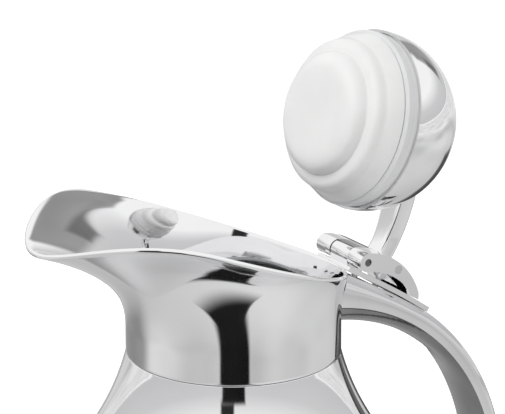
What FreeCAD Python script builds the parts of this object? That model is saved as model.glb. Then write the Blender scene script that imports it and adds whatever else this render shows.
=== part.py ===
import FreeCAD
import Part
import Sketcher
import math
import os

# Hinged-lid insulated server: a double-wall steel jug with a flared pouring collar.
# Millimetres. The origin is the middle of the base, +Z is up, the spout points to -X.
# The lid is modelled closed on the jug's axis and then turned open about the hinge pin.

SIZES = {
    # body
    "seam_height": 150, "neck_radius": 38, "belly_radius": 65.5, "belly_height": 62,
    "foot_radius": 57, "foot_height": 12, "skirt_lift": 0.8, "shoulder_arc": 100,
    "shoulder_angle": 14, "shell_wall": 1.0, "vacuum_gap": 3.7, "liner_wall": 0.8,
    "mouth_inset": 7.5, "lip_inset": 5, "spigot_height": 11.6, "liner_weld_height": 24,
    "liner_floor_height": 14, "liner_corner": 12, "fit_gap": 0.1,
    # base
    "outer_floor_height": 7, "floor_wall": 1.0, "floor_flange": 4, "seal_radius": 5, "seal_thick": 1.4,
    "seal_hole_radius": 1.5, "getter_radius": 6, "getter_thick": 2.5, "getter_offset": 20,
    "pad_thick": 1.8, "pad_radius": 50, "cover_flange": 4,
    # pouring collar
    "collar_wall": 1.7, "flare_start": 10, "flare_angle": 50, "spout_reach": 80.4, "rim_back": 40.8,
    "rim_half_width": 47.75, "spout_taper": 0.12, "spout_point": 0.17, "rim_back_height": 25.2,
    "rim_slope": 0.363, "droop_start": 33, "tip_droop": 18, "gasket_height": 2.5, "gasket_width": 3.8,
    # hinge
    "pin_reach": 48.2, "pin_rise": 26.8, "pin_radius": 1.35, "hinge_width": 27.5, "pin_recess": 0.6,
    "knuckle_width": 10.5, "knuckle_radius": 3.2, "cheek_radius": 3.5, "side_gap": 0.3,
    "running_gap": 0.05, "plate_thick": 1.8, "plate_start": 42.2, "plate_end": 77, "plate_arc": 330,
    "lever_reach": 22.1, "lever_drop": 16.6, "lever_back_arc": 19.6, "lever_belly_arc": 26,
    "lever_tip": 2.4, "thumb_bar": 3.6, "rivet_reach": 13.2, "rivet_drop": 5.1, "rivet_radius": 1.45,
    # lid
    "lid_open_angle": 108, "dome_radius": 32.3, "dome_wall": 1.0, "dome_lip": 1.0, "rim_below_pin": 7.6,
    "plug_depth": 20.8, "face_radius": 16.5, "face_dish": 1.1, "nose_radius": 23.3, "nose_round": 3.2,
    "nose_depth": 15.3, "drum_radius": 28.2, "drum_round": 2.4, "drum_draft": 0.7,
    "flange_depth": 3.0, "plug_gasket_height": 3.5, "plug_gasket_radius": 31.4, "core_radius": 20.5,
    "core_floor": 12, "core_rise": 14,
    "arm_foot_radius": 4.0, "arm_foot_width": 8.6, "arm_top_width": 12.8, "arm_front_arc": 46,
    "arm_back_arc": 60,
    # handle
    "handle_width": 20, "handle_wall": 1.2, "handle_centre_reach": 21.8, "handle_centre_drop": 72,
    "handle_arc": 92, "handle_inner_shift": 3.8, "handle_inner_arc": 83.3, "handle_low_arc": 45,
    "handle_root_depth": 7.3, "keel_end_angle": 35, "weld_gap": 0.15, "bracket_width": 12,
    "bracket_gap": 0.2, "bracket_end": 67, "low_bracket_length": 10, "screw_radius": 1.25,
    "screw_head_radius": 2.3, "screw_head_height": 1.2, "screw_length": 6, "hinge_screw_near": 53,
    "hinge_screw_far": 62,
}


class Size:
    """A value that keeps the formula behind it, so that features can be bound to the sheet."""

    def __init__(self, value, formula=None):
        self.value = float(value)
        self.formula = formula or f"({float(value):.9g})"

    def __add__(self, other):
        other = size(other)
        return Size(self.value + other.value, f"({self.formula} + {other.formula})")

    def __sub__(self, other):
        other = size(other)
        return Size(self.value - other.value, f"({self.formula} - {other.formula})")

    def __mul__(self, other):
        other = size(other)
        return Size(self.value * other.value, f"({self.formula} * {other.formula})")

    def __truediv__(self, other):
        other = size(other)
        return Size(self.value / other.value, f"({self.formula} / {other.formula})")

    def __neg__(self):
        return Size(-self.value, f"(0 - {self.formula})")

    __radd__ = __add__
    __rmul__ = __mul__

    def __rsub__(self, other):
        return size(other) - self


def size(number):
    return number if isinstance(number, Size) else Size(number)


def root(a):
    return Size(math.sqrt(a.value), f"sqrt({a.formula})")


def sine(angle):
    angle = size(angle)
    return Size(math.sin(math.radians(angle.value)), f"sin({angle.formula})")


def cosine(angle):
    angle = size(angle)
    return Size(math.cos(math.radians(angle.value)), f"cos({angle.formula})")


doc = FreeCAD.newDocument("server_jug")
sheet = doc.addObject("Spreadsheet::Sheet", "dims")
for line, (word, number) in enumerate(SIZES.items(), 1):
    sheet.set(f"A{line}", word)
    sheet.set(f"B{line}", str(number))
    sheet.setAlias(f"B{line}", word)
doc.recompute()


class Sheet:
    """Each alias of the sheet as a Size."""

    def __getattr__(self, word):
        return Size(sheet.get(word), f"dims.{word}")


d = Sheet()
subparts = {}


def keep(name, shape_object):
    """Names a finished piece of the jug."""
    shape_object.Label = name
    subparts[name] = shape_object
    return shape_object


def bind(target, prop, amount):
    target.setExpression(prop, size(amount).formula)


def arc_between(p, q, radius, side):
    """Minor arc from p to q. side 1 has its centre on the left of p to q, -1 on the right."""
    chord = q.sub(p)
    middle = (p + q) * 0.5
    half = chord.Length / 2
    across = FreeCAD.Vector(-(q.y - p.y), q.x - p.x, 0).normalize()
    centre = middle + across * (side * math.sqrt(max(radius * radius - half * half, 0)))
    first = math.atan2(p.y - centre.y, p.x - centre.x)
    last = math.atan2(q.y - centre.y, q.x - centre.x)
    if side < 0:
        first, last = last, first
    if last < first:
        last += 2 * math.pi
    circle = Part.Circle(centre, FreeCAD.Vector(0, 0, 1), radius)
    return Part.ArcOfCircle(circle, first, last)


def outline(owner, name, points, arcs, plane="XZ_Plane"):
    """A closed sketch through points of Sizes. arcs gives radius and side of the stretch after a point."""
    sketch = owner.newObject("Sketcher::SketchObject", name)
    support = [f for f in owner.Origin.OriginFeatures if f.Role == plane][0]
    sketch.AttachmentSupport = [(support, "")]
    sketch.MapMode = "FlatFace"
    corners = [FreeCAD.Vector(size(x).value, size(y).value, 0) for x, y in points]
    count = len(points)
    ends = []
    for i in range(count):
        p, q = corners[i], corners[(i + 1) % count]
        if i in arcs:
            radius, side = arcs[i]
            sketch.addGeometry(arc_between(p, q, size(radius).value, side))
            ends.append((1, 2) if side > 0 else (2, 1))
        else:
            sketch.addGeometry(Part.LineSegment(p, q))
            ends.append((1, 2))
    for i in range(count):
        after = (i + 1) % count
        sketch.addConstraint(Sketcher.Constraint("Coincident", i, ends[i][1], after, ends[after][0]))
    for i, (x, y) in enumerate(points):
        for kind, axis, amount in (("DistanceX", -2, size(x)), ("DistanceY", -1, size(y))):
            if amount.value == 0:
                sketch.addConstraint(Sketcher.Constraint("PointOnObject", i, ends[i][0], axis))
                continue
            number = sketch.addConstraint(Sketcher.Constraint(kind, i, ends[i][0], amount.value))
            bind(sketch, f"Constraints[{number}]", amount)
        if i in arcs:
            radius = size(arcs[i][0])
            number = sketch.addConstraint(Sketcher.Constraint("Radius", i, radius.value))
            bind(sketch, f"Constraints[{number}]", radius)
    return sketch


def turned(name, points, arcs=None):
    """A solid of revolution about the jug's axis from an outline of radius and height."""
    body = doc.addObject("PartDesign::Body", name)
    feature = body.newObject("PartDesign::Revolution", name + "_turned")
    sketch = outline(body, name + "_profile", points, arcs or {})
    feature.Profile = sketch
    feature.ReferenceAxis = (sketch, ["V_Axis"])
    feature.Angle = 360
    body.Tip = feature
    return body


def padded(name, points, width, arcs=None, plane="XZ_Plane"):
    """A side-view outline given its width, half to each side of the middle plane."""
    body = doc.addObject("PartDesign::Body", name)
    feature = body.newObject("PartDesign::Pad", name + "_pad")
    feature.Profile = outline(body, name + "_profile", points, arcs or {}, plane)
    feature.SideType = "Symmetric"
    bind(feature, "Length", width)
    body.Tip = feature
    return body


def rod(name, x, z, radius, length):
    """A round bar across the jug, parallel to Y, centred on the middle plane."""
    bar = doc.addObject("Part::Cylinder", name)
    bar.Placement.Rotation = FreeCAD.Rotation(FreeCAD.Vector(1, 0, 0), 90)
    bind(bar, "Radius", radius)
    bind(bar, "Height", length)
    bind(bar, "Placement.Base.x", x)
    bind(bar, "Placement.Base.y", size(length) / 2)
    bind(bar, "Placement.Base.z", z)
    return bar


def cut(name, base, *tools):
    result = doc.addObject("Part::Cut", name)
    result.Base = base
    result.Tool = tools[0] if len(tools) == 1 else fused(name + "_tools", *tools)
    return result


def fused(name, *pieces):
    result = doc.addObject("Part::MultiFuse", name)
    result.Shapes = list(pieces)
    return result


def common(name, *pieces):
    result = doc.addObject("Part::MultiCommon", name)
    result.Shapes = list(pieces)
    return result


# Double-wall body: the belly, a convex arc and the concave shoulder run on into each other.
shoulder_x = d.neck_radius + d.shoulder_arc * cosine(d.shoulder_angle)
shoulder_z = d.seam_height + d.shoulder_arc * sine(d.shoulder_angle)
across = shoulder_x - d.belly_radius
above = shoulder_z - d.belly_height
belly_arc = (across * across + above * above - d.shoulder_arc * d.shoulder_arc) / (
    2 * (d.shoulder_arc - across)
)
join = d.shoulder_arc + belly_arc
join_cos = (across + belly_arc) / join
join_sin = above / join
belly_centre = d.belly_radius - belly_arc
foot_in = d.belly_radius - d.foot_radius
foot_down = d.belly_height - d.foot_height
low_arc = (foot_down * foot_down + foot_in * foot_in) / (2 * foot_in)
low_centre = d.belly_radius - low_arc


def low_radius(inset, height):
    """Radius of the lower wall, inset from the outside, at a height under the belly."""
    drop = d.belly_height - height
    wall = low_arc - inset
    return low_centre + root(wall * wall - drop * drop)


spigot_radius = d.neck_radius - d.collar_wall - d.fit_gap
mouth_radius = d.neck_radius - d.mouth_inset
lip_radius = d.neck_radius - d.lip_inset
spigot_top = d.seam_height + d.spigot_height
inner_shoulder = d.shoulder_arc + d.shell_wall
step_z = d.seam_height - d.shell_wall
step_drop = shoulder_z - step_z
step_x = shoulder_x - root(inner_shoulder * inner_shoulder - step_drop * step_drop)
band_inside = low_radius(d.shell_wall, d.foot_height)

keep("outer_body", turned(
    "outer_shell",
    [
        (d.foot_radius, d.skirt_lift), (d.foot_radius, d.foot_height),
        (d.belly_radius, d.belly_height),
        (belly_centre + belly_arc * join_cos, d.belly_height + belly_arc * join_sin),
        (d.neck_radius, d.seam_height), (spigot_radius, d.seam_height), (spigot_radius, spigot_top),
        (lip_radius, spigot_top), (lip_radius, spigot_top - d.shell_wall),
        (spigot_radius - d.shell_wall, spigot_top - d.shell_wall),
        (spigot_radius - d.shell_wall, step_z), (step_x, step_z),
        (belly_centre + (belly_arc - d.shell_wall) * join_cos,
         d.belly_height + (belly_arc - d.shell_wall) * join_sin),
        (d.belly_radius - d.shell_wall, d.belly_height),
        (band_inside, d.foot_height), (band_inside, d.skirt_lift),
    ],
    {1: (low_arc, 1), 2: (belly_arc, 1), 3: (d.shoulder_arc, -1), 11: (inner_shoulder, 1),
     12: (belly_arc - d.shell_wall, -1), 13: (low_arc - d.shell_wall, -1)},
))

# Liner: follows the body a vacuum gap inside it and turns out over the shell's lip at the mouth.
liner_inset = d.shell_wall + d.vacuum_gap
liner_belly = belly_arc - liner_inset
mouth_out = mouth_radius + d.liner_wall
reach = mouth_out - belly_centre
rise = spigot_top - d.belly_height
liner_neck = (reach * reach + rise * rise - liner_belly * liner_belly) / (2 * (liner_belly - reach))
liner_join = liner_belly + liner_neck
liner_cos = (reach + liner_neck) / liner_join
liner_sin = rise / liner_join
liner_in_belly = liner_belly - d.liner_wall
weld_out = low_radius(liner_inset, d.liner_weld_height)
weld_in = low_radius(liner_inset + d.liner_wall, d.liner_weld_height)
mouth_top = spigot_top + d.liner_wall
flange_edge = spigot_radius - d.liner_wall

keep("inner_liner", turned(
    "liner_wall",
    [
        (weld_out, d.liner_weld_height), (d.belly_radius - liner_inset, d.belly_height),
        (belly_centre + liner_belly * liner_cos, d.belly_height + liner_belly * liner_sin),
        (mouth_out, spigot_top), (flange_edge, spigot_top), (flange_edge, mouth_top),
        (mouth_radius, mouth_top), (mouth_radius, spigot_top),
        (belly_centre + liner_in_belly * liner_cos, d.belly_height + liner_in_belly * liner_sin),
        (d.belly_radius - liner_inset - d.liner_wall, d.belly_height), (weld_in, d.liner_weld_height),
    ],
    {0: (low_arc - liner_inset, 1), 1: (liner_belly, 1), 2: (liner_neck, -1),
     7: (liner_neck + d.liner_wall, 1), 8: (liner_in_belly, -1),
     9: (low_arc - liner_inset - d.liner_wall, -1)},
))

floor_edge = weld_out - (d.liner_weld_height - d.liner_floor_height)
keep("liner_bottom", turned(
    "liner_floor",
    [
        (0, d.liner_floor_height), (floor_edge, d.liner_floor_height), (weld_out, d.liner_weld_height),
        (weld_in, d.liner_weld_height), (floor_edge, d.liner_floor_height + d.liner_wall),
        (0, d.liner_floor_height + d.liner_wall),
    ],
    {1: (d.liner_corner, 1), 3: (d.liner_corner - d.liner_wall, -1)},
))

# Base: welded vacuum floor with its sealed evacuation hole, then the cover and the pad.
floor_rim = band_inside - d.fit_gap
floor_top = d.outer_floor_height + d.floor_wall
keep("outer_bottom", turned(
    "vacuum_floor",
    [
        (d.seal_hole_radius, d.outer_floor_height), (floor_rim, d.outer_floor_height),
        (floor_rim, d.outer_floor_height + d.floor_flange),
        (floor_rim - d.floor_wall, d.outer_floor_height + d.floor_flange),
        (floor_rim - d.floor_wall, floor_top), (d.seal_hole_radius, floor_top),
    ],
))
keep("vacuum_seal", turned(
    "seal_cap",
    [
        (0, d.outer_floor_height - d.seal_thick), (d.seal_radius, d.outer_floor_height - d.seal_thick),
        (d.seal_radius, d.outer_floor_height), (d.seal_hole_radius - d.fit_gap, d.outer_floor_height),
        (d.seal_hole_radius - d.fit_gap, floor_top), (0, floor_top),
    ],
))
getter = doc.addObject("Part::Cylinder", "getter_capsule")
bind(getter, "Radius", d.getter_radius)
bind(getter, "Height", d.getter_thick)
bind(getter, "Placement.Base.x", d.getter_offset)
bind(getter, "Placement.Base.z", floor_top)
keep("getter", getter)
cover_top = d.pad_thick + d.floor_wall
keep("base_cover", turned(
    "cover_dish",
    [
        (0, d.pad_thick), (floor_rim, d.pad_thick), (floor_rim, cover_top + d.cover_flange - d.floor_wall),
        (floor_rim - d.floor_wall, cover_top + d.cover_flange - d.floor_wall),
        (floor_rim - d.floor_wall, cover_top), (0, cover_top),
    ],
))
pad = doc.addObject("Part::Cylinder", "pad_disc")
bind(pad, "Radius", d.pad_radius)
bind(pad, "Height", d.pad_thick)
keep("foot_pad", pad)

# Pouring collar: a tube that flares into an egg-shaped rim, higher and drooping at the spout.
RING_POINTS = 56
FLARE_ROWS = 9
STRAIGHT_ROWS = 4
LIP_ROWS = 4
STEP = 1e-3
tip = -d.spout_reach.value
back = d.rim_back.value
seam = d.seam_height.value
flare = math.radians(d.flare_angle.value)


def rim_point(turn):
    """Edge of the collar. turn 0 is the handle's side and half a turn is the spout."""
    c = math.cos(turn)
    x = (tip + back) / 2 + (back - tip) / 2 * c
    pointed = 1 + d.spout_taper.value * c - d.spout_point.value * c * c
    y = d.rim_half_width.value * math.sin(turn) * pointed
    past = max(0.0, -d.droop_start.value - x) / (-d.droop_start.value - tip)
    z = d.rim_back_height.value + d.rim_slope.value * (back - x) - d.tip_droop.value * past ** 2.2
    return FreeCAD.Vector(x, y, seam + z)


def wall_point(turn, level):
    """Outside of the collar: level -1 is the seam, 0 the start of the flare, 1 the rim."""
    neck = d.neck_radius.value
    foot = FreeCAD.Vector(neck * math.cos(turn), neck * math.sin(turn), seam + d.flare_start.value)
    if level <= 0:
        return foot + FreeCAD.Vector(0, 0, d.flare_start.value * level)
    rim = rim_point(turn)
    out = (1 - math.cos(level * flare)) / (1 - math.cos(flare))
    up = math.sin(level * flare) / math.sin(flare)
    return FreeCAD.Vector(
        foot.x + (rim.x - foot.x) * out, foot.y + (rim.y - foot.y) * out, foot.z + (rim.z - foot.z) * up
    )


def wall_frame(turn, level):
    """Point on the wall with its outward normal and the direction up the wall."""
    here = wall_point(turn, level)
    along = wall_point(turn + STEP, level) - wall_point(turn - STEP, level)
    climb = here - wall_point(turn, level - STEP)
    climb.normalize()
    normal = along.cross(climb)
    normal.normalize()
    return here, normal, climb


def ring(level, depth=0.0, lip=None):
    """A closed curve round the wall at a level, a depth inside it, or at an angle over the lip."""
    points = []
    for i in range(RING_POINTS):
        here, normal, climb = wall_frame(2 * math.pi * i / RING_POINTS, level)
        if lip is None:
            points.append(here - normal * depth)
            continue
        half = d.collar_wall.value / 2
        points.append(here - normal * half + (normal * math.cos(lip) + climb * math.sin(lip)) * half)
    curve = Part.BSplineCurve()
    curve.interpolate(points, PeriodicFlag=True)
    return Part.Wire(curve.toShape())


levels = [-1 + i / STRAIGHT_ROWS for i in range(STRAIGHT_ROWS)]
levels += [i / FLARE_ROWS for i in range(FLARE_ROWS + 1)]
outside = [ring(level) for level in levels]
inside = [ring(level, d.collar_wall.value) for level in levels]
lip_rings = [ring(1, lip=math.pi * i / LIP_ROWS) for i in range(LIP_ROWS + 1)]
walls = [Part.makeLoft(rings, False, False) for rings in (outside, inside, lip_rings)]
foot_ring = Part.makeFace([outside[0], inside[0]], "Part::FaceMakerBullseye")
shell = Part.makeShell([face for wall in walls for face in wall.Faces] + [foot_ring])
shell.sewShape(0.01)
collar_solid = Part.makeSolid(shell if shell.ShapeType == "Shell" else shell.Shells[0])
if collar_solid.Volume < 0:
    collar_solid.reverse()
collar = doc.addObject("Part::Feature", "collar")
collar.Shape = collar_solid
keep("pouring_collar", collar)

gasket_out = d.neck_radius - d.collar_wall - d.fit_gap
keep("collar_gasket", turned(
    "neck_seal",
    [
        (gasket_out - d.gasket_width, mouth_top), (gasket_out, mouth_top),
        (gasket_out, mouth_top + d.gasket_height),
        (gasket_out - d.gasket_width / 2, mouth_top + d.gasket_height),
    ],
))

# Space that the collar takes at its back, with the weld gap: it trims what is fixed to the collar.
trim_low = d.seam_height - d.spigot_height
trim_start = d.seam_height + d.flare_start
trim_rim = d.rim_back + d.collar_wall
trim_top = d.seam_height + d.rim_back_height + d.collar_wall
trim_out = trim_rim - d.neck_radius
trim_up = trim_top - trim_start
trim_arc = (trim_out * trim_out + trim_up * trim_up) / (2 * trim_out)
collar_space = turned(
    "collar_space",
    [
        (0, trim_low), (d.neck_radius + d.weld_gap, trim_low), (d.neck_radius + d.weld_gap, trim_start),
        (trim_rim + d.weld_gap, trim_top), (trim_rim + d.weld_gap, trim_top + d.spigot_height),
        (0, trim_top + d.spigot_height),
    ],
    {2: (trim_arc, -1)},
)

# Handle: two nearly concentric arcs that close towards the belly, hollow, with a strip on the inside.
centre_x = d.handle_centre_reach
centre_z = d.seam_height - d.handle_centre_drop
inner_x = centre_x + d.handle_inner_shift
outer_apex = centre_x + d.handle_arc
inner_apex = inner_x + d.handle_inner_arc
strap = outer_apex - inner_apex
low_x = outer_apex - d.handle_low_arc
low_z = centre_z - d.handle_low_arc
seat_end = d.plate_end - centre_x
seat_end_z = centre_z + root(d.handle_arc * d.handle_arc - seat_end * seat_end)
seat_slope = seat_end / root(d.handle_arc * d.handle_arc - seat_end * seat_end)
SEAT_EASE = 0.84
seat_start_z = seat_end_z + (d.plate_end - d.plate_start) * seat_slope * SEAT_EASE
root_x = d.neck_radius - d.collar_wall
root_top = seat_start_z + (d.plate_start - root_x) * seat_slope * SEAT_EASE
root_in = root_x - inner_x
root_low = centre_z + root(d.handle_inner_arc * d.handle_inner_arc - root_in * root_in)
body_x = low_radius(d.shell_wall, low_z)


def handle_outline(inset, open_by):
    """Side view of the handle, inset from its outer face and open_by past its inner face."""
    return [
        (root_x, root_top - inset * 1.12), (d.plate_start - inset * 0.5, seat_start_z - inset * 0.84),
        (d.plate_end - inset * 0.5, seat_end_z - inset * 0.84),
        (outer_apex - inset, centre_z), (low_x, low_z + inset), (body_x, low_z + inset),
        (body_x, low_z + strap + open_by), (low_x, low_z + strap + open_by), (inner_apex - open_by, centre_z),
        (root_x, root_low - open_by),
    ]


def handle_arcs(inset, open_by):
    return {
        1: (d.plate_arc, -1), 2: (d.handle_arc - inset, -1), 3: (d.handle_low_arc - inset, -1),
        7: (d.handle_low_arc - strap - open_by, 1), 8: (d.handle_inner_arc - open_by, 1),
    }


body_space = turned(
    "body_space",
    [
        (0, d.foot_height), (d.foot_radius + d.weld_gap, d.foot_height),
        (d.belly_radius + d.weld_gap, d.belly_height), (0, d.belly_height),
    ],
    {1: (low_arc + d.weld_gap, 1)},
)
nothing = size(0)
handle_block = padded("handle_block", handle_outline(nothing, nothing), d.handle_width, handle_arcs(nothing, nothing))
channel_width = d.handle_width - 2 * d.handle_wall
handle_room = padded(
    "handle_room", handle_outline(d.handle_wall, d.handle_wall), channel_width,
    handle_arcs(d.handle_wall, d.handle_wall),
)


def screw(name, x, z, tilt, length):
    """Countersunk screw with its head at x, z. tilt turns its shank, which points down, about Y."""
    shank = doc.addObject("Part::Cylinder", name + "_shank")
    bind(shank, "Radius", d.screw_radius)
    bind(shank, "Height", length)
    head = doc.addObject("Part::Cone", name + "_head")
    bind(head, "Radius1", d.screw_head_radius)
    bind(head, "Radius2", d.screw_radius)
    bind(head, "Height", d.screw_head_height)
    result = fused(name, shank, head)
    result.Placement.Rotation = FreeCAD.Rotation(FreeCAD.Vector(0, 1, 0), 180)
    result.setExpression("Placement.Rotation.Angle", (size(180) + tilt).formula)
    bind(result, "Placement.Base.x", x)
    bind(result, "Placement.Base.z", z)
    return result


# Hinge plate: curved to the handle's back, with the middle knuckle.
pin_x = d.pin_reach
pin_z = d.seam_height + d.pin_rise
plate_run = d.plate_end - d.plate_start
plate_fall = seat_start_z - seat_end_z
plate_length = root(plate_run * plate_run + plate_fall * plate_fall)
lift_x = d.plate_thick * plate_fall / plate_length
lift_z = d.plate_thick * plate_run / plate_length
plate_bar = padded(
    "plate_bar",
    [
        (d.plate_start, seat_start_z), (d.plate_start + lift_x, seat_start_z + lift_z),
        (d.plate_end + lift_x, seat_end_z + lift_z), (d.plate_end, seat_end_z),
    ],
    d.handle_width,
    {1: (d.plate_arc + d.plate_thick, -1), 3: (d.plate_arc, 1)},
)
knuckle_foot = seat_start_z - (pin_x - d.plate_start) * plate_fall / plate_run + d.plate_thick / 3
knuckle = padded(
    "knuckle",
    [
        (pin_x - d.knuckle_radius, pin_z), (pin_x, pin_z + d.knuckle_radius),
        (pin_x + d.knuckle_radius, pin_z), (pin_x + d.knuckle_radius, knuckle_foot),
        (pin_x - d.knuckle_radius, knuckle_foot + d.plate_thick),
    ],
    d.knuckle_width,
    {0: (d.knuckle_radius, -1), 1: (d.knuckle_radius, -1)},
)
plate_whole = fused("plate_whole", plate_bar, knuckle)
plate_tilt = Size(math.degrees(math.atan2(plate_fall.value, plate_run.value)),
                  f"(atan2({plate_fall.formula}; {plate_run.formula}) / (1 deg))")


def plate_top(x):
    """Height of the plate's upper face at x, with the rise of its arc."""
    along = (x - d.plate_start) / plate_run
    bulge = plate_length * plate_length / (2 * d.plate_arc) * along * (1 - along)
    return seat_start_z + lift_z + lift_x * plate_fall / plate_run - (x - d.plate_start) * plate_fall / plate_run + bulge


screw_length = d.plate_thick + d.handle_wall + d.screw_length
screw_places = [(d.hinge_screw_near, "near"), (d.hinge_screw_far, "far")]


def screw_pair(name):
    pair = [screw(f"{name}_{word}", x, plate_top(x) - d.fit_gap, plate_tilt, screw_length) for x, word in screw_places]
    return fused(name, *pair)


# Upper bracket fills the root of the hollow handle and carries the hinge screws.
bracket_out = d.handle_wall + d.bracket_gap
bracket_end_in = d.bracket_end - inner_x
bracket_low = centre_z + root(d.handle_inner_arc * d.handle_inner_arc - bracket_end_in * bracket_end_in)
bracket_top = plate_top(d.bracket_end) - d.plate_thick * 1.14 - bracket_out * 1.14 - d.bracket_gap
bracket_block = padded(
    "bracket_block",
    [
        (root_x, root_top - bracket_out * 1.14 - d.bracket_gap), (d.bracket_end, bracket_top),
        (d.bracket_end, bracket_low + d.bracket_gap), (root_x, root_low + d.bracket_gap),
    ],
    d.bracket_width,
    {2: (d.handle_inner_arc + d.bracket_gap, 1)},
)
keep("hinge_plate", cut(
    "hinge_base", plate_whole,
    rod("knuckle_bore", pin_x, pin_z, d.pin_radius + d.running_gap, d.hinge_width), screw_pair("plate_holes"),
    collar_space,
))
keep("hinge_screws", screw_pair("hinge_fixings"))
keep("hinge_pin", rod("pin", pin_x, pin_z, d.pin_radius, d.hinge_width - 2 * d.pin_recess))

# Handle fixings: one screw up through the inner strip at the root, one up into the low bracket.
low_screw_x = body_x + d.low_bracket_length / 2
root_screw_x = d.bracket_end - d.arm_top_width
root_screw_in = root_screw_x - inner_x
root_screw_z = centre_z + root(d.handle_inner_arc * d.handle_inner_arc - root_screw_in * root_screw_in)
half_turn = size(180)


def handle_screw_set(name, grow):
    low = screw(name + "_low", low_screw_x, low_z + grow, half_turn, strap - d.handle_wall)
    return low


low_bracket = padded(
    "low_bracket",
    [
        (body_x, low_z + bracket_out), (body_x + d.low_bracket_length, low_z + bracket_out),
        (body_x + d.low_bracket_length, low_z + strap - d.bracket_gap), (body_x, low_z + strap - d.bracket_gap),
    ],
    d.bracket_width,
)
keep("handle_lower_bracket", cut(
    "low_bracket_trimmed", low_bracket, body_space, handle_screw_set("low_bracket_hole", nothing)))
keep("handle_upper_bracket", cut(
    "bracket_trimmed", bracket_block, collar_space, screw_pair("bracket_holes")))
keep("handle_screws", handle_screw_set("handle_fixing", nothing))
keep("handle_shell", cut(
    "handle_channel", handle_block, handle_room, collar_space, body_space, screw_pair("shell_holes"),
    handle_screw_set("shell_hole", nothing)))


# Inner strip of the handle: a rounded keel at the root that thins to a flat strip.
def keel_section(angle, centre, radius, depth, name):
    """D-shaped section of the strip at an angle round a centre, flat side on the shell's edge."""
    half = d.handle_width / 2
    bow = (half * half + depth * depth) / (2 * depth)
    section = doc.addObject("Sketcher::SketchObject", name)
    low = FreeCAD.Vector(-half.value, 0, 0)
    high = FreeCAD.Vector(half.value, 0, 0)
    section.addGeometry(Part.LineSegment(low, high))
    section.addGeometry(arc_between(low, high, bow.value, 1))
    section.addConstraint(Sketcher.Constraint("Coincident", 0, 1, 1, 1))
    section.addConstraint(Sketcher.Constraint("Coincident", 0, 2, 1, 2))
    section.addConstraint(Sketcher.Constraint("Horizontal", 0))
    section.addConstraint(Sketcher.Constraint("Symmetric", 0, 1, 0, 2, -1, 1))
    width = section.addConstraint(Sketcher.Constraint("Distance", 0, 1, 0, 2, d.handle_width.value))
    bind(section, f"Constraints[{width}]", d.handle_width)
    curve = section.addConstraint(Sketcher.Constraint("Radius", 1, bow.value))
    bind(section, f"Constraints[{curve}]", bow)
    turn = math.radians(angle)
    out = FreeCAD.Vector(math.cos(turn), 0, math.sin(turn))
    side = FreeCAD.Vector(0, 1, 0)
    place = centre + out * radius
    section.Placement = FreeCAD.Placement(place, FreeCAD.Rotation(side, out, side.cross(out), "XYZ"))
    return section


upper_centre = FreeCAD.Vector(inner_x.value, 0, centre_z.value)
lower_centre = FreeCAD.Vector(low_x.value, 0, centre_z.value)
upper_radius = (d.handle_inner_arc - d.fit_gap).value
lower_radius = (d.handle_low_arc - strap - d.fit_gap).value
root_angle = math.degrees(math.acos(root_in.value / upper_radius))
KEEL_STEPS = 5
FLAT_ANGLES = (20, 0)
LOW_ANGLES = (-30, -60, -90)
sections = []
for i in range(KEEL_STEPS + 1):
    share = i / KEEL_STEPS
    angle = root_angle + (d.keel_end_angle.value - root_angle) * share
    depth = d.handle_root_depth + (d.handle_wall - d.handle_root_depth) * share
    sections.append(keel_section(angle, upper_centre, upper_radius, depth, f"keel_{i}"))
for angle in FLAT_ANGLES:
    sections.append(keel_section(angle, upper_centre, upper_radius, d.handle_wall, f"strip_{angle}"))
for angle in LOW_ANGLES:
    sections.append(keel_section(angle, lower_centre, lower_radius, d.handle_wall, f"strip_low{-angle}"))
end = keel_section(-90, lower_centre, lower_radius, d.handle_wall, "strip_end")
end.Placement.Base = FreeCAD.Vector(body_x.value, 0, end.Placement.Base.z)
sections.append(end)
strip = doc.addObject("Part::Loft", "strip")
strip.Sections = sections
strip.Solid = True
keep("handle_inner_cover", cut("strip_trimmed", strip, handle_block, collar_space, body_space))

# Thumb lever: two cheeks on the pin, joined by the thumb bar that stops on the plate.
tip_x = pin_x + d.lever_reach
tip_z = plate_top(tip_x) + d.side_gap
tip_in = tip_x - d.lever_tip
tip_in_z = plate_top(tip_in) + d.side_gap
lever_block = padded(
    "lever_block",
    [
        (pin_x, pin_z + d.cheek_radius), (tip_x, tip_z), (tip_in, tip_in_z), (pin_x, pin_z - d.cheek_radius),
    ],
    d.hinge_width,
    {0: (d.lever_back_arc, -1), 2: (d.lever_belly_arc, 1), 3: (d.cheek_radius + 0.001, -1)},
)
slot_width = d.knuckle_width + 2 * d.side_gap
slot_end = tip_x - d.thumb_bar
lever_slot = padded(
    "lever_slot",
    [
        (pin_x - 2 * d.cheek_radius, pin_z - d.lever_reach), (slot_end, pin_z - d.lever_reach),
        (slot_end, pin_z + 2 * d.cheek_radius), (pin_x - 2 * d.cheek_radius, pin_z + 2 * d.cheek_radius),
    ],
    slot_width,
)
rivet_x = pin_x + d.rivet_reach
rivet_z = pin_z - d.rivet_drop
keep("thumb_lever", cut(
    "lever_cut", lever_block, lever_slot,
    rod("lever_bore", pin_x, pin_z, d.pin_radius + d.running_gap, d.hinge_width * 2),
    rod("lever_rivet_hole", rivet_x, rivet_z, d.rivet_radius + d.running_gap, d.hinge_width * 2),
))
keep("arm_rivet", rod("rivet", rivet_x, rivet_z, d.rivet_radius, d.hinge_width))

# Lid, modelled closed: dome over the mouth, stopper below the dome's rim.
rim_z = pin_z - d.rim_below_pin
dome_in = d.dome_radius - d.dome_wall


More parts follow.
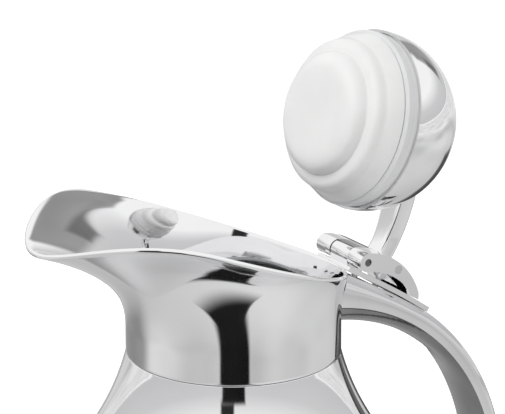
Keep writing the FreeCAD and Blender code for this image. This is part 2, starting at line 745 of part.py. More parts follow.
def open_lid(piece):
    """Turns a piece of the closed lid about the pin to the open lid."""
    angle = d.lid_open_angle
    piece.Placement.Rotation = FreeCAD.Rotation(FreeCAD.Vector(0, 1, 0), angle.value)
    bind(piece, "Placement.Rotation.Angle", angle)
    bind(piece, "Placement.Base.x", pin_x - (pin_x * cosine(angle) + pin_z * sine(angle)))
    bind(piece, "Placement.Base.z", pin_z - (pin_z * cosine(angle) - pin_x * sine(angle)))
    return piece


keep("lid_dome", open_lid(turned(
    "dome",
    [
        (d.dome_radius, rim_z - d.dome_lip), (d.dome_radius, rim_z), (0, rim_z + d.dome_radius),
        (0, rim_z + dome_in), (dome_in, rim_z), (dome_in, rim_z - d.dome_lip),
    ],
    {1: (d.dome_radius, 1), 3: (dome_in, -1)},
)))
face_z = rim_z - d.plug_depth
step = rim_z - d.nose_depth
gasket_low = rim_z - d.flange_depth - d.plug_gasket_height
drum_top = d.drum_radius + d.drum_draft
plug_rim = dome_in - d.fit_gap
crest = (d.face_radius + d.nose_radius) / 2
keep("lid_plug", open_lid(turned(
    "plug",
    [
        (0, face_z + d.face_dish), (d.face_radius, face_z + d.face_dish), (crest, face_z),
        (d.nose_radius - d.nose_round, face_z), (d.nose_radius, face_z + d.nose_round), (d.nose_radius, step),
        (d.drum_radius - d.drum_round, step), (d.drum_radius, step + d.drum_round), (drum_top, gasket_low),
        (drum_top, rim_z - d.flange_depth), (plug_rim, rim_z - d.flange_depth),
        (plug_rim, rim_z), (d.core_radius, rim_z),
        (d.core_radius, rim_z - d.core_floor), (0, rim_z - d.core_floor),
    ],
    {3: (d.nose_round, 1), 6: (d.drum_round, 1)},
)))
keep("plug_gasket", open_lid(turned(
    "stopper_ring",
    [
        (drum_top + d.fit_gap, gasket_low), (d.plug_gasket_radius - d.dome_wall, gasket_low),
        (d.plug_gasket_radius, gasket_low + d.dome_wall),
        (d.plug_gasket_radius, rim_z - d.flange_depth), (drum_top + d.fit_gap, rim_z - d.flange_depth),
    ],
)))
core = d.core_radius - d.fit_gap
keep("plug_insulation", open_lid(turned(
    "foam",
    [
        (0, rim_z - d.core_floor), (core, rim_z - d.core_floor), (core, rim_z + d.core_rise),
        (0, rim_z + d.core_rise),
    ],
)))

# Lid arm, modelled open: from its foot between the cheeks up to the back of the dome.
turn = d.lid_open_angle
dome_x = pin_x + (-pin_x) * cosine(turn) - d.rim_below_pin * sine(turn)
dome_z = pin_z + pin_x * sine(turn) - d.rim_below_pin * cosine(turn)
foot = d.arm_foot_radius
arm_front_x = dome_x + d.dome_radius * cosine(68)
arm_front_z = dome_z - d.dome_radius * sine(66)
arm_back_x = dome_x + d.dome_radius * cosine(50)
arm_back_z = dome_z - d.dome_radius * sine(48)
arm_side = padded(
    "arm_side",
    [
        (rivet_x - foot * cosine(40), rivet_z + foot * sine(40)), (arm_front_x, arm_front_z),
        (arm_back_x, arm_back_z), (rivet_x + foot, rivet_z),
    ],
    d.arm_top_width,
    {0: (d.arm_front_arc, 1), 2: (d.arm_back_arc, -1), 3: (foot, -1)},
)
arm_low = rivet_z - 2 * foot
arm_high = dome_z - d.dome_radius / 2
arm_taper = rivet_z + 2 * foot
arm_front = padded(
    "arm_front",
    [
        (d.arm_foot_width / 2, arm_low), (d.arm_foot_width / 2, arm_taper), (d.arm_top_width / 2, arm_high),
        (-(d.arm_top_width / 2), arm_high), (-(d.arm_foot_width / 2), arm_taper),
        (-(d.arm_foot_width / 2), arm_low),
    ],
    4 * d.belly_radius,
    plane="YZ_Plane",
)
dome_space = doc.addObject("Part::Sphere", "dome_space")
bind(dome_space, "Radius", d.dome_radius + d.running_gap)
bind(dome_space, "Placement.Base.x", dome_x)
bind(dome_space, "Placement.Base.z", dome_z)
keep("lid_arm", cut(
    "arm_trimmed", common("arm_form", arm_side, arm_front), dome_space,
    rod("arm_rivet_hole", rivet_x, rivet_z, d.rivet_radius + d.running_gap, d.hinge_width),
))

doc.recompute()

failed = [item.Name for item in doc.Objects if "Invalid" in item.State or "Error" in item.State]
for name, piece in subparts.items():
    if piece.Shape.isNull() or not piece.Shape.isValid() or not piece.Shape.Solids:
        failed.append(name)
if failed:
    raise RuntimeError(f"these did not build: {failed}")

os.makedirs("parts", exist_ok=True)
for name, piece in subparts.items():
    piece.Shape.exportStep(f"parts/{name}.step")
    print(name, len(piece.Shape.Solids), round(piece.Shape.Volume, 1))
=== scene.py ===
import bpy
import math
from mathutils import Matrix, Vector


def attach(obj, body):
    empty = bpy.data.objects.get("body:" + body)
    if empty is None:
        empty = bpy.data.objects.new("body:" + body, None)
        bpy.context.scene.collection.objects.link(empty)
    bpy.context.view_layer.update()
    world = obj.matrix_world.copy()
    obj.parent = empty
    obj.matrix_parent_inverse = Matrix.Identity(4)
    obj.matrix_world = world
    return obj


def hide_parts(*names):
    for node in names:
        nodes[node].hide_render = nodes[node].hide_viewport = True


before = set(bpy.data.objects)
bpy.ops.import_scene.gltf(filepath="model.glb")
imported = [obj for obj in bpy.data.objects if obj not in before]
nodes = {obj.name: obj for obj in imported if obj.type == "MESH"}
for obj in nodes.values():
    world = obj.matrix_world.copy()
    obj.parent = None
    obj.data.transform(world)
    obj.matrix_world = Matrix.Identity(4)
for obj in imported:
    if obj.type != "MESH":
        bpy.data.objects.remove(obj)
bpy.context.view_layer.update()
MM = 0.001
scene = bpy.context.scene
scene.view_settings.view_transform = "Standard"


# Materials. Every finish is built from noise so that no surface is one flat colour.
def new_material(name):
    material = bpy.data.materials.new(name)
    material.use_nodes = True
    tree = material.node_tree
    return material, tree, tree.nodes["Principled BSDF"]


def noise(tree, scale, detail=3.0, stretch=(1, 1, 1)):
    """Noise in the object's own coordinates, stretched along each axis."""
    place = tree.nodes.new("ShaderNodeTexCoord")
    mapping = tree.nodes.new("ShaderNodeMapping")
    mapping.inputs["Scale"].default_value = stretch
    texture = tree.nodes.new("ShaderNodeTexNoise")
    texture.inputs["Scale"].default_value = scale
    texture.inputs["Detail"].default_value = detail
    tree.links.new(place.outputs["Object"], mapping.inputs["Vector"])
    tree.links.new(mapping.outputs["Vector"], texture.inputs["Vector"])
    return texture.outputs["Fac"]


def ramp(tree, source, low, high, start=0.3, end=0.7):
    """Colours from low to high over the middle of a noise."""
    node = tree.nodes.new("ShaderNodeValToRGB")
    node.color_ramp.elements[0].position = start
    node.color_ramp.elements[1].position = end
    node.color_ramp.elements[0].color = (*low, 1)
    node.color_ramp.elements[1].color = (*high, 1)
    tree.links.new(source, node.inputs["Fac"])
    return node.outputs["Color"]


def spread(tree, source, low, high):
    """A number from low to high over the middle of a noise."""
    node = tree.nodes.new("ShaderNodeMapRange")
    node.inputs["From Min"].default_value = 0.3
    node.inputs["From Max"].default_value = 0.7
    node.inputs["To Min"].default_value = low
    node.inputs["To Max"].default_value = high
    tree.links.new(source, node.inputs["Value"])
    return node.outputs["Result"]


def bump(tree, shader, source, depth, strength):
    node = tree.nodes.new("ShaderNodeBump")
    node.inputs["Strength"].default_value = strength
    node.inputs["Distance"].default_value = depth
    tree.links.new(source, node.inputs["Height"])
    tree.links.new(node.outputs["Normal"], shader.inputs["Normal"])


def steel(name, low, high, rough, wave, stretch=(1, 1, 1), scale=60):
    """Metal between two tones, with its roughness spread over a range and a faint wave in its surface."""
    material, tree, shader = new_material(name)
    shader.inputs["Metallic"].default_value = 1.0
    tree.links.new(ramp(tree, noise(tree, 35), low, high), shader.inputs["Base Color"])
    tree.links.new(spread(tree, noise(tree, scale, 5, stretch), *rough), shader.inputs["Roughness"])
    bump(tree, shader, noise(tree, wave[0], 2), wave[1], wave[2])
    return material


def plain(name, low, high, rough, grain, depth, strength, coat=0.0):
    """Plastic or rubber between two tones, with a fine grain."""
    material, tree, shader = new_material(name)
    tree.links.new(ramp(tree, noise(tree, 45), low, high), shader.inputs["Base Color"])
    tree.links.new(spread(tree, noise(tree, 90), *rough), shader.inputs["Roughness"])
    shader.inputs["Coat Weight"].default_value = coat
    shader.inputs["Coat Roughness"].default_value = 0.08
    bump(tree, shader, noise(tree, grain, 4), depth, strength)
    return material


polished = steel("polished_steel", (0.86, 0.86, 0.87), (0.90, 0.90, 0.905), (0.03, 0.07), (30, 0.0004, 0.05))
# Painted shade: a dark copy of the steel whose tone stands in for the shade and dark reflections on the handle's
# inner strip and the lever's roof.
painted_shade_steel = steel(
    "inner_strip_painted_shade", (0.20, 0.20, 0.205), (0.31, 0.31, 0.315), (0.08, 0.16), (40, 0.0003, 0.05),
)
# Painted shade: the polished steel made darker for the handle and the arm, standing in for the shade on them.
handle_painted_shade_steel = steel("handle_painted_shade_steel", (0.70, 0.70, 0.71), (0.80, 0.80, 0.81), (0.04, 0.09), (28, 0.0004, 0.06))
pin_steel = steel("pin_steel", (0.10, 0.10, 0.105), (0.18, 0.18, 0.185), (0.2, 0.3), (600, 0.0001, 0.1))
satin = steel(
    "satin_steel", (0.56, 0.56, 0.57), (0.66, 0.66, 0.67), (0.25, 0.4), (900, 0.0001, 0.2), (1, 1, 30), 80,
)
liner_steel = steel(
    "liner_steel", (0.60, 0.60, 0.61), (0.72, 0.72, 0.73), (0.2, 0.32), (600, 0.0001, 0.15), (1, 1, 40), 60,
)
white = plain("white_plastic", (0.84, 0.84, 0.835), (0.90, 0.90, 0.895), (0.28, 0.4), 900, 0.00005, 0.08, 0.35)
silicone = plain("grey_silicone", (0.50, 0.51, 0.52), (0.60, 0.61, 0.62), (0.5, 0.65), 700, 0.0001, 0.2)
clear_silicone = plain(
    "pale_silicone", (0.74, 0.745, 0.75), (0.82, 0.825, 0.83), (0.35, 0.5), 700, 0.0001, 0.15, 0.2,
)
rubber = plain("black_rubber", (0.02, 0.02, 0.02), (0.05, 0.05, 0.05), (0.6, 0.8), 500, 0.0002, 0.4)
foam = plain("foam", (0.74, 0.73, 0.68), (0.84, 0.83, 0.78), (0.8, 0.95), 400, 0.0004, 0.6)

# The handle, the arm and the handle's inner strip take darker copies of the polished steel, painted shade.
NODE_FINISH = {
    "hinge_plate": polished, "thumb_lever": polished, "lid_arm": handle_painted_shade_steel, "handle_shell": handle_painted_shade_steel,
    "handle_inner_cover": painted_shade_steel, "inner_liner": liner_steel, "liner_bottom": liner_steel,
    "collar_gasket": silicone, "plug_gasket": clear_silicone, "foot_pad": rubber, "plug_insulation": foam,
    "hinge_pin": pin_steel,
}
for name, piece in nodes.items():
    piece.data.materials.clear()
    piece.data.materials.append(NODE_FINISH.get(name, satin))


# Pieces drawn here more finely than the solids that they stand for, from the same measures.
def add_piece(name, points, faces, material, body, slot, *stands_for, sharp=35):
    mesh = bpy.data.meshes.new(name)
    mesh.from_pydata([Vector(p) * MM for p in points], [], faces)
    mesh.update()
    mesh.shade_smooth()
    mesh.set_sharp_from_angle(angle=math.radians(sharp))
    mesh.materials.append(material)
    piece = bpy.data.objects.new(name, mesh)
    scene.collection.objects.link(piece)
    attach(piece, body)
    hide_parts(*stands_for)
    return piece


def grid_faces(rows, columns, closed_rows):
    """Quads between rows of points. Columns run round; rows close on the first row if asked."""
    faces = []
    for r in range(rows if closed_rows else rows - 1):
        below, above = r * columns, (r + 1) % rows * columns
        for c in range(columns):
            after = (c + 1) % columns
            faces.append((below + c, below + after, above + after, above + c))
    return faces


def arc(cx, cz, radius, start, end, steps):
    """Points on an arc, angles in degrees from +radius towards +height."""
    points = []
    for i in range(steps + 1):
        angle = math.radians(start + (end - start) * i / steps)
        points.append((cx + radius * math.cos(angle), cz + radius * math.sin(angle)))
    return points


TURNS = 240


def lathe(profile, place=None):
    """Points and faces of a closed profile of radius and height turned about Z. A zero radius is kept tiny."""
    points = []
    for radius, height in profile:
        radius = max(radius, 0.02)
        for i in range(TURNS):
            angle = 2 * math.pi * i / TURNS
            point = Vector((radius * math.cos(angle), radius * math.sin(angle), height))
            points.append(place @ point if place else point)
    return points, grid_faces(len(profile), TURNS, True)


# Body
SEAM, NECK, BELLY, BELLY_Z, FOOT, FOOT_Z, LIFT = 150, 38, 65.5, 62, 57, 12, 0.8
SHOULDER, SHOULDER_TURN, WALL, COLLAR_WALL, FIT = 100, 14, 1.0, 1.7, 0.1
SPIGOT, LIP = 11.6, 33
shoulder_x = NECK + SHOULDER * math.cos(math.radians(SHOULDER_TURN))
shoulder_z = SEAM + SHOULDER * math.sin(math.radians(SHOULDER_TURN))
across, above = shoulder_x - BELLY, shoulder_z - BELLY_Z
belly_arc = (across**2 + above**2 - SHOULDER**2) / (2 * (SHOULDER - across))
join = math.degrees(math.asin(above / (SHOULDER + belly_arc)))
low_arc = ((BELLY_Z - FOOT_Z) ** 2 + (BELLY - FOOT) ** 2) / (2 * (BELLY - FOOT))
low = math.degrees(math.asin((BELLY_Z - FOOT_Z) / low_arc))


def body_side(inset):
    """The wall from the foot to the seam, a distance inside its outer face."""
    side = arc(BELLY - low_arc, BELLY_Z, low_arc - inset, -low, 0, 24)
    side += arc(BELLY - belly_arc, BELLY_Z, belly_arc - inset, 0, join, 40)[1:]
    end = 180 + SHOULDER_TURN
    side += arc(shoulder_x, shoulder_z, SHOULDER + inset, 180 + join, end, 40)[1:]
    return side


spigot_r = NECK - COLLAR_WALL - FIT
outer, inner = body_side(0), body_side(WALL)
EDGE = 0.1
body_profile = [(FOOT, LIFT), *outer[:-1], (NECK + 0.02, SEAM - EDGE), (NECK - EDGE, SEAM)]
body_profile += [(spigot_r, SEAM), (spigot_r, SEAM + SPIGOT)]
body_profile += [(LIP, SEAM + SPIGOT), (LIP, SEAM + SPIGOT - WALL), (spigot_r - WALL, SEAM + SPIGOT - WALL)]
body_profile += [(spigot_r - WALL, SEAM - WALL), *inner[::-1], (inner[0][0], LIFT)]
add_piece("body_skin", *lathe(body_profile), polished, "jug", "polished_steel", "outer_body")

# Pouring collar
TIP, BACK, HALF_WIDTH, TAPER, POINT = -80.4, 40.8, 47.75, 0.12, 0.17
BACK_RISE, SLOPE, DROOP_START, DROOP, FLARE_START, LIP_ROUND = 25.2, 0.363, 33, 19, 10, 0.7
FLARE = math.radians(50)
GROOVE, ROUND, LIP_STEPS, NUDGE = 0.5, 360, 8, 0.001


def rim_point(turn):
    """The rim's outer edge: an egg in plan, rising to the front and drooping at the spout."""
    c = math.cos(turn)
    x = (TIP + BACK) / 2 + (BACK - TIP) / 2 * c
    y = HALF_WIDTH * math.sin(turn) * (1 + TAPER * c - POINT * c * c)
    past = max(0.0, -DROOP_START - x) / (-DROOP_START - TIP)
    return Vector((x, y, SEAM + BACK_RISE - LIP_ROUND + SLOPE * (BACK - x) - DROOP * past**2.2))


def wall_point(turn, level):
    """The outer face: level -1 is the seam, 0 the start of the flare and 1 the rim."""
    foot = Vector((NECK * math.cos(turn), NECK * math.sin(turn), SEAM + FLARE_START))
    if level <= 0:
        return foot + Vector((0, 0, FLARE_START * level))
    rim = rim_point(turn)
    out = (1 - math.cos(level * FLARE)) / (1 - math.cos(FLARE))
    up = math.sin(level * FLARE) / math.sin(FLARE)
    gain = rim - foot
    return Vector((foot.x + gain.x * out, foot.y + gain.y * out, foot.z + gain.z * up))


def wall_frame(turn, level):
    """A point of the outer face, the way out of it and the way up it."""
    here = wall_point(turn, level)
    along = wall_point(turn + NUDGE, level) - wall_point(turn - NUDGE, level)
    climb = (here - wall_point(turn, level - NUDGE)).normalized()
    return here, along.cross(climb).normalized(), climb


collar_levels = [-1 + i / 8 for i in range(8)] + [i / 40 for i in range(41)]
collar_rows = []
groove_level = GROOVE / FLARE_START - 1
groove_share = (NECK - GROOVE) / NECK
foot_row = [wall_point(2 * math.pi * i / ROUND, -1) for i in range(ROUND)]
collar_rows.append([Vector((p.x * groove_share, p.y * groove_share, p.z)) for p in foot_row])
for level in [groove_level] + collar_levels[1:]:
    collar_rows.append([wall_point(2 * math.pi * i / ROUND, level) for i in range(ROUND)])
half = COLLAR_WALL / 2
for step in range(1, LIP_STEPS):
    lip = math.pi * step / LIP_STEPS
    row = []
    for i in range(ROUND):
        here, normal, climb = wall_frame(2 * math.pi * i / ROUND, 1)
        row.append(here - normal * half + (normal * math.cos(lip) + climb * math.sin(lip)) * half)
    collar_rows.append(row)
for level in collar_levels[::-1]:
    row = []
    for i in range(ROUND):
        here, normal, _ = wall_frame(2 * math.pi * i / ROUND, level)
        row.append(here - normal * COLLAR_WALL)
    collar_rows.append(row)
collar_points = [point for row in collar_rows for point in row]
add_piece(
    "collar_skin", collar_points, grid_faces(len(collar_rows), ROUND, True),
    polished, "jug", "polished_steel", "pouring_collar", sharp=50,
)

# Lid, drawn closed on the axis and turned open about the pin
PIN = Vector((48.2, 0, 176.8))
PIN_OVER_RIM, OPEN = 7.6, math.radians(108)
RIM = PIN.z - PIN_OVER_RIM
DOME, DOME_WALL, SKIRT = 32.3, 1.0, 1
open_lid = Matrix.Translation(PIN) @ Matrix.Rotation(OPEN, 4, "Y") @ Matrix.Translation(-PIN)
dome_profile = [(DOME, RIM - SKIRT), *arc(0, RIM, DOME, 0, 90, 60), *arc(0, RIM, DOME - DOME_WALL, 90, 0, 40)]
dome_profile += [(DOME - DOME_WALL, RIM - SKIRT)]
add_piece("dome_skin", *lathe(dome_profile, open_lid), polished, "lid", "polished_steel", "lid_dome")

# Stopper: radius and depth below the dome's rim
PLUG = [
    (0, 21.9), (8, 22.0), (13, 22.2), (15.5, 22.4), (17.8, 22.15), (19.7, 21.4), (20.9, 20.4), (21.6, 19.2),
    (21.9, 18.0), (22.0, 17.3), (22.3, 16.9), (23.2, 16.75), (24.6, 16.6), (25.8, 16.1), (26.6, 15.3), (27.0, 14.3),
    (27.2, 13.2), (27.4, 12.4), (27.8, 11.9), (28.3, 11.2), (30.3, 7.4), (30.4, 6.9), (30.1, 6.6), (28.9, 6.55),
    (28.9, 3.0), (31.1, 3.0), (31.1, 0), (20.5, 0), (20.5, 12), (0, 12),
]
plug_profile = [(radius, RIM - depth) for radius, depth in PLUG]
add_piece("plug_skin", *lathe(plug_profile, open_lid), white, "lid", "white_plastic", "lid_plug", sharp=40)

# Handle: its sides swell a little between the outer face and the inner strip
HANDLE_HALF, SEAT_STEPS, BEND_STEPS, SIDE_STEPS = 10, 30, 40, 12
OUTER_PULL, INNER_PULL = 1.5, 0.5
BEND_Z, BACK_X, BACK_ARC, INSIDE_X, INSIDE_ARC = 78, 21.8, 92, 25.6, 83.3
LOW_X, LOW_ARC, LOW_INSIDE_ARC = 68.8, 45, 40.1
PLATE_END, ROOT_END = 53.13, 81.2
seat_a, seat_b, SEAT_ARC, SEAT_GAP = (42.8, 171.87), (77.0, 151.6), 330, 0.05
seat_run = math.hypot(seat_b[0] - seat_a[0], seat_b[1] - seat_a[1])
handle_out = []
for i in range(SEAT_STEPS):
    share = i / SEAT_STEPS
    bulge = seat_run**2 / (2 * SEAT_ARC) * share * (1 - share)
    x = seat_a[0] + (seat_b[0] - seat_a[0]) * share + bulge * (seat_a[1] - seat_b[1]) / seat_run
    z = seat_a[1] + (seat_b[1] - seat_a[1]) * share + bulge * (seat_b[0] - seat_a[0]) / seat_run
    handle_out.append((x, z - SEAT_GAP))
handle_out += arc(BACK_X, BEND_Z, BACK_ARC, PLATE_END, 0, BEND_STEPS)
handle_out += arc(LOW_X, BEND_Z, LOW_ARC, 0, -90, BEND_STEPS)[1:] + [(62.95, 33)]
handle_in = arc(INSIDE_X, BEND_Z, INSIDE_ARC, ROOT_END, PLATE_END, SEAT_STEPS)[:-1]
handle_in += arc(INSIDE_X, BEND_Z, INSIDE_ARC, PLATE_END, 0, BEND_STEPS)
handle_in += arc(LOW_X, BEND_Z, LOW_INSIDE_ARC, 0, -90, BEND_STEPS)[1:] + [(63.8, 37.9)]
handle_points = []
for (ox, oz), (ix, iz) in zip(handle_out, handle_in):
    side = []
    for k in range(SIDE_STEPS + 1):
        v = k / SIDE_STEPS
        reach = HANDLE_HALF - OUTER_PULL * (1 - v) ** 4 - INNER_PULL * v**4
        side.append((ox + (ix - ox) * v, reach, oz + (iz - oz) * v))
    handle_points += side + [(x, -y, z) for x, y, z in side[::-1]]
ring_size = 2 * (SIDE_STEPS + 1)
handle_faces = grid_faces(len(handle_out), ring_size, False)
last_ring = range(len(handle_points) - ring_size, len(handle_points))
handle_faces += [tuple(range(ring_size)), tuple(last_ring)[::-1]]
# The handle skin takes the darker steel of painted shade.
add_piece(
    "handle_skin", handle_points, handle_faces,
    handle_painted_shade_steel, "jug", "polished_steel", "handle_shell", sharp=50,
)

# Arm: a bar with rounded edges from its foot between the cheeks up to the dome
ARM_STEPS, ARM_EDGE, EDGE_STEPS, ARM_FOOT_HALF, ARM_TOP_HALF, ARM_TAPER = 24, 2.0, 8, 4.3, 5.8, 179.7
ARM_FRONT = [Vector((58.3, 0, 174.3)), Vector((64.1, 0, 179.95)), Vector((68.1, 0, 195.7))]
ARM_BACK = [Vector((65.3, 0, 171.6)), Vector((73.3, 0, 180.95)), Vector((76.5, 0, 200.5))]


def bend(ends, share):
    """A point on a curve given by its start, its pull and its end."""
    start, pull, end = ends
    return start * (1 - share) ** 2 + pull * 2 * share * (1 - share) + end * share**2


stations = [(Vector((60.3, 0, 170.6)), Vector((63.6, 0, 170.5)))]
stations += [(Vector((58.7, 0, 172.6)), Vector((64.8, 0, 171.1)))]
stations += [(bend(ARM_FRONT, i / ARM_STEPS), bend(ARM_BACK, i / ARM_STEPS)) for i in range(ARM_STEPS + 1)]
arm_points = []
for front, back in stations:
    length = (back - front).length
    edge = min(ARM_EDGE, length * 0.45)
    ahead_of = (back - front).normalized()
    rise = max(0.0, (front.z + back.z) / 2 - ARM_TAPER) / (ARM_FRONT[2].z - ARM_TAPER)
    half = ARM_FOOT_HALF + (ARM_TOP_HALF - ARM_FOOT_HALF) * min(rise, 1.0)
    for corner, (u, v) in enumerate(((0, -1), (1, -1), (1, 1), (0, 1))):
        middle_u = length - edge if u else edge
        for step in range(EDGE_STEPS + 1):
            angle = math.radians(180 + 90 * corner + 90 * step / EDGE_STEPS)
            along_arm = front + ahead_of * (middle_u + edge * math.cos(angle))
            arm_points.append((along_arm.x, v * (half - edge) + edge * math.sin(angle), along_arm.z))
arm_ring = 4 * (EDGE_STEPS + 1)
arm_faces = grid_faces(len(stations), arm_ring, False)
arm_faces += [tuple(range(arm_ring))[::-1], tuple(range(len(arm_points) - arm_ring, len(arm_points)))]
add_piece("arm_skin", arm_points, arm_faces, polished, "lid", "polished_steel", "lid_arm", sharp=50)

# Lever: a cutter thins its back to a slim curve, and a roof closes the slot over the knuckle
nose, tail, LEVER_ARC, LEVER_STEPS = Vector((48.2, 0, 180.3)), Vector((70.6, 0, 160.6)), 27, 40
CUT_X, CUT_Z, CUT_HALF = 84, 195, 20
ROOF_END, ROOF_WALL, ROOF_HALF = 59.5, 0.8, 5.5
half_chord = (tail - nose).length / 2
chord = (tail - nose).normalized()
outward = Vector((-chord.z, 0, chord.x))
back_centre = (nose + tail) / 2 - outward * math.sqrt(LEVER_ARC**2 - half_chord**2)
spread_angle = math.asin(half_chord / LEVER_ARC)
back_points = []
for i in range(LEVER_STEPS + 1):
    angle = -spread_angle + 2 * spread_angle * i / LEVER_STEPS
    back_points.append(back_centre + (outward * math.cos(angle) + chord * math.sin(angle)) * LEVER_ARC)
outline = back_points + [Vector((CUT_X, 0, tail.z)), Vector((CUT_X, 0, CUT_Z)), Vector((nose.x, 0, CUT_Z))]


def prism(name, corners, half):
    """A solid of one outline in the middle plane, given a width."""
    count = len(corners)
    points = [Vector((c.x, side, c.z)) * MM for side in (half, -half) for c in corners]
    faces = [tuple(range(count))[::-1], tuple(range(count, 2 * count))]
    faces += [(i, (i + 1) % count, (i + 1) % count + count, i + count) for i in range(count)]
    mesh = bpy.data.meshes.new(name)
    mesh.from_pydata(points, [], faces)
    mesh.update()
    piece = bpy.data.objects.new(name, mesh)
    scene.collection.objects.link(piece)
    return piece


cutter = prism("lever_cutter", outline, CUT_HALF)
cutter.hide_render = True
cutter.hide_viewport = True
roof_line = [p for p in back_points if p.x < ROOF_END]
roof_under = [back_centre + (p - back_centre) * (LEVER_ARC - ROOF_WALL) / LEVER_ARC for p in roof_line]
roof = prism("lever_roof", roof_under + roof_line[::-1], ROOF_HALF)
roof.data.shade_smooth()
roof.data.set_sharp_from_angle(angle=math.radians(40))
# The roof takes the dark steel of painted shade.
roof.data.materials.append(painted_shade_steel)
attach(roof, "lid")

# Small pieces keep their solids, welded and with softened edges.
for name in ("hinge_plate", "thumb_lever"):
    weld = nodes[name].modifiers.new("weld", "WELD")
    weld.merge_threshold = 0.00002
    if name == "thumb_lever":
        thin = nodes[name].modifiers.new("slim_back", "BOOLEAN")
        thin.operation = "DIFFERENCE"
        thin.object = cutter
    soft = nodes[name].modifiers.new("soft_edges", "BEVEL")
    soft.width = 0.00045
    soft.segments = 3
    soft.limit_method = "ANGLE"
    soft.angle_limit = math.radians(40)


# Stage: floor, light and camera
def reflector(name, corners, tone, soft):
    """A flat piece that only polished surfaces see. A share of it, from the edge inwards, fades out."""
    count = len(corners)
    centre = sum(corners, Vector()) / count
    core = [centre + (corner - centre) * (1 - soft) for corner in corners]
    faces = [tuple(range(count, 2 * count))]
    faces += [(i, (i + 1) % count, (i + 1) % count + count, i + count) for i in range(count)]
    mesh = bpy.data.meshes.new(name)
    mesh.from_pydata(corners + core, [], faces)
    solid = mesh.attributes.new("solid", "FLOAT", "POINT")
    solid.data.foreach_set("value", [0.0] * count + [1.0] * count)
    piece = bpy.data.objects.new(name, mesh)
    scene.collection.objects.link(piece)
    material = bpy.data.materials.new(name)
    material.use_nodes = True
    tree = material.node_tree
    tree.nodes.clear()
    out = tree.nodes.new("ShaderNodeOutputMaterial")
    glow = tree.nodes.new("ShaderNodeEmission")
    cloud = noise(tree, 2.4, 1)
    low, high = tone * 0.8, min(tone * 1.25, 0.92)
    tree.links.new(ramp(tree, cloud, (low, low, low), (high, high, high)), glow.inputs["Color"])
    share = tree.nodes.new("ShaderNodeAttribute")
    share.attribute_name = "solid"
    ease = tree.nodes.new("ShaderNodeMapRange")
    ease.interpolation_type = "SMOOTHSTEP"
    clear = tree.nodes.new("ShaderNodeBsdfTransparent")
    blend = tree.nodes.new("ShaderNodeMixShader")
    tree.links.new(share.outputs["Fac"], ease.inputs["Value"])
    tree.links.new(ease.outputs["Result"], blend.inputs["Fac"])
    tree.links.new(clear.outputs["BSDF"], blend.inputs[1])
    tree.links.new(glow.outputs["Emission"], blend.inputs[2])
    tree.links.new(blend.outputs["Shader"], out.inputs["Surface"])
    mesh.materials.append(material)
    piece.visible_camera = False
    piece.visible_diffuse = False
    piece.visible_shadow = False
    return piece


def seen_ray(tree):
    """One for rays that show the background: straight from the camera, off metal or through glass."""
    path = tree.nodes.new("ShaderNodeLightPath")
    total = path.outputs["Is Camera Ray"]
    for kind in ("Is Glossy Ray", "Is Transmission Ray"):
        either = tree.nodes.new("ShaderNodeMath")
        either.operation = "MAXIMUM"
        tree.links.new(total, either.inputs[0])
        tree.links.new(path.outputs[kind], either.inputs[1])
        total = either.outputs[0]
    return total


def floor():
    mesh = bpy.data.meshes.new("floor")
    reach = 20
    corners = [(-reach, -reach, 0), (reach, -reach, 0), (reach, reach, 0), (-reach, reach, 0)]
    mesh.from_pydata(corners, [], [(0, 1, 2, 3)])
    piece = bpy.data.objects.new("floor", mesh)
    scene.collection.objects.link(piece)
    material, tree, shader = new_material("floor")
    shader.inputs["Base Color"].default_value = (0.9, 0.9, 0.9, 1)
    shader.inputs["Roughness"].default_value = 0.9
    level = tree.nodes.new("ShaderNodeMath")
    level.operation = "MULTIPLY"
    level.inputs[1].default_value = 0.42
    tree.links.new(seen_ray(tree), level.inputs[0])
    shader.inputs["Emission Color"].default_value = (1, 1, 1, 1)
    tree.links.new(level.outputs[0], shader.inputs["Emission Strength"])
    mesh.materials.append(material)


def lamp(name, centre, target, size, power):
    light = bpy.data.lights.new(name, "AREA")
    light.shape = "RECTANGLE"
    light.size, light.size_y = size
    light.energy = power
    piece = bpy.data.objects.new(name, light)
    scene.collection.objects.link(piece)
    piece.location = centre
    piece.rotation_euler = (Vector(target) - Vector(centre)).to_track_quat("-Z", "Y").to_euler()
    piece.visible_glossy = False


floor()
TURN, TILT = math.radians(33.6), math.radians(18.19)
toward = Vector((-math.sin(TURN) * math.cos(TILT), -math.cos(TURN) * math.cos(TILT), math.sin(TILT)))
ahead = Vector((toward.x, toward.y, 0)).normalized()
right = Vector((math.cos(TURN), -math.sin(TURN), 0))
up = Vector((0, 0, 1))
middle = Vector((0, 0, 0.17))  # the neck


def around(front, side, height):
    """A place given from the jug's axis: towards the camera, to the right and up from the floor."""
    return ahead * front + right * side + up * height


def flat_card(name, front, side, height, tone, soft):
    """A reflector that lies just over the floor, between two distances to the front and two to the side."""
    corners = [(front[0], side[0]), (front[0], side[1]), (front[1], side[1]), (front[1], side[0])]
    floor_shape(name, corners, height, tone, soft)


def floor_shape(name, corners, height, tone, soft):
    """A reflector of any outline over the floor, its corners given to the front and to the right."""
    reflector(name, [around(front, side, height) for front, side in corners], tone, soft)


def standing_card(name, turn, rise, distance, tone, soft):
    """An upright reflector between two bearings from the camera's side and two elevations, in degrees."""
    bearing = math.radians(sum(turn) / 2)
    half = distance * math.tan(math.radians((turn[1] - turn[0]) / 2))
    low, high = (middle.z + distance * math.tan(math.radians(angle)) for angle in rise)
    corners = []
    for across, height in ((-half, low), (half, low), (half, high), (-half, high)):
        front = distance * math.cos(bearing) - across * math.sin(bearing)
        side = distance * math.sin(bearing) + across * math.cos(bearing)
        corners.append(around(front, side, height))
    reflector(name, corners, tone, soft)


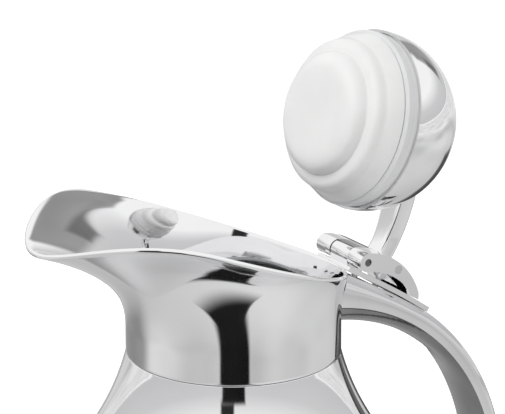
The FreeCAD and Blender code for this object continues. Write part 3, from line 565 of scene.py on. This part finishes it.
# Reflectors: a grey table top with dark shapes, the dark side that the camera stands on, and grey at the back
flat_card("table_far", (-9, 9), (-9, 9), 0.0002, 0.84, 0.05)
flat_card("table", (-0.95, 1.2), (-1.1, 1.1), 0.0003, 0.62, 0.3)
flat_card("table_back", (-0.56, -0.02), (-0.68, -0.05), 0.0004, 0.3, 0.5)
DARK_EDGE = [(-0.26, -0.10), (-0.26, 0.10), (-1.4, 0.26), (-1.4, -0.26)]
DARK_RIGHT = [(-0.2, 0.02), (-0.18, 0.16), (-0.34, 0.38), (-0.56, 0.34), (-0.6, 0.02)]
DARK_WEDGE = [
    (0.09, -0.055), (0.16, -0.05), (0.5, -0.13), (0.95, -0.21),
    (0.95, 0.25), (0.5, 0.16), (0.16, 0.065), (0.09, 0.075),
]
floor_shape("dark_edge", DARK_EDGE, 0.0005, 0.05, 0.4)
floor_shape("dark_right", DARK_RIGHT, 0.0006, 0.08, 0.4)
floor_shape("dark_strip", DARK_WEDGE, 0.0007, 0.01, 0.2)
standing_card("dark_viewer", (-12, 13), (-10, 13), 0.95, 0.01, 0.2)
standing_card("dark_head", (-13, 2), (9, 32), 0.94, 0.02, 0.3)
standing_card("grey_right", (134, 164), (8, 34), 0.9, 0.34, 0.4)
standing_card("grey_right_near", (136, 146), (10, 23), 0.88, 0.16, 0.5)
lamp("key", around(0.5, -0.9, 1.3), middle, (0.9, 0.9), 9.5)
lamp("fill", around(0.6, 1.1, 0.9), middle, (0.9, 0.9), 1)

world = bpy.data.worlds.new("studio")
scene.world = world
world.use_nodes = True
sky = world.node_tree
back = sky.nodes["Background"]
level = sky.nodes.new("ShaderNodeMapRange")
level.inputs["To Min"].default_value = 0.66
level.inputs["To Max"].default_value = 1.0
sky.links.new(seen_ray(sky), level.inputs["Value"])
sky.links.new(level.outputs["Result"], back.inputs["Strength"])
# The backdrop is white overhead and pale grey at the horizon
direction = sky.nodes.new("ShaderNodeTexCoord")
split = sky.nodes.new("ShaderNodeSeparateXYZ")
sky.links.new(direction.outputs["Generated"], split.inputs["Vector"])
fade = sky.nodes.new("ShaderNodeValToRGB")
fade.color_ramp.elements[0].position = 0.0
fade.color_ramp.elements[0].color = (0.60, 0.60, 0.605, 1)
fade.color_ramp.elements[1].position = 0.36
fade.color_ramp.elements[1].color = (1, 1, 1, 1)
shade = fade.color_ramp.elements.new(0.17)
shade.color = (0.66, 0.66, 0.665, 1)
sky.links.new(split.outputs["Z"], fade.inputs["Fac"])
sky.links.new(fade.outputs["Color"], back.inputs["Color"])

camera = bpy.data.cameras.new("camera")
LENS, SENSOR, DISTANCE = 285.5, 36, 1.4
camera.lens = LENS
camera.sensor_width = SENSOR
camera.sensor_fit = "HORIZONTAL"
camera.clip_end = 100
camera.dof.use_dof = False
viewer = bpy.data.objects.new("camera", camera)
scene.collection.objects.link(viewer)
target = Vector((0.00808, 0, 0.20115))
viewer.location = target + toward * DISTANCE
viewer.rotation_euler = (-toward).to_track_quat("-Z", "Y").to_euler()
scene.camera = viewer
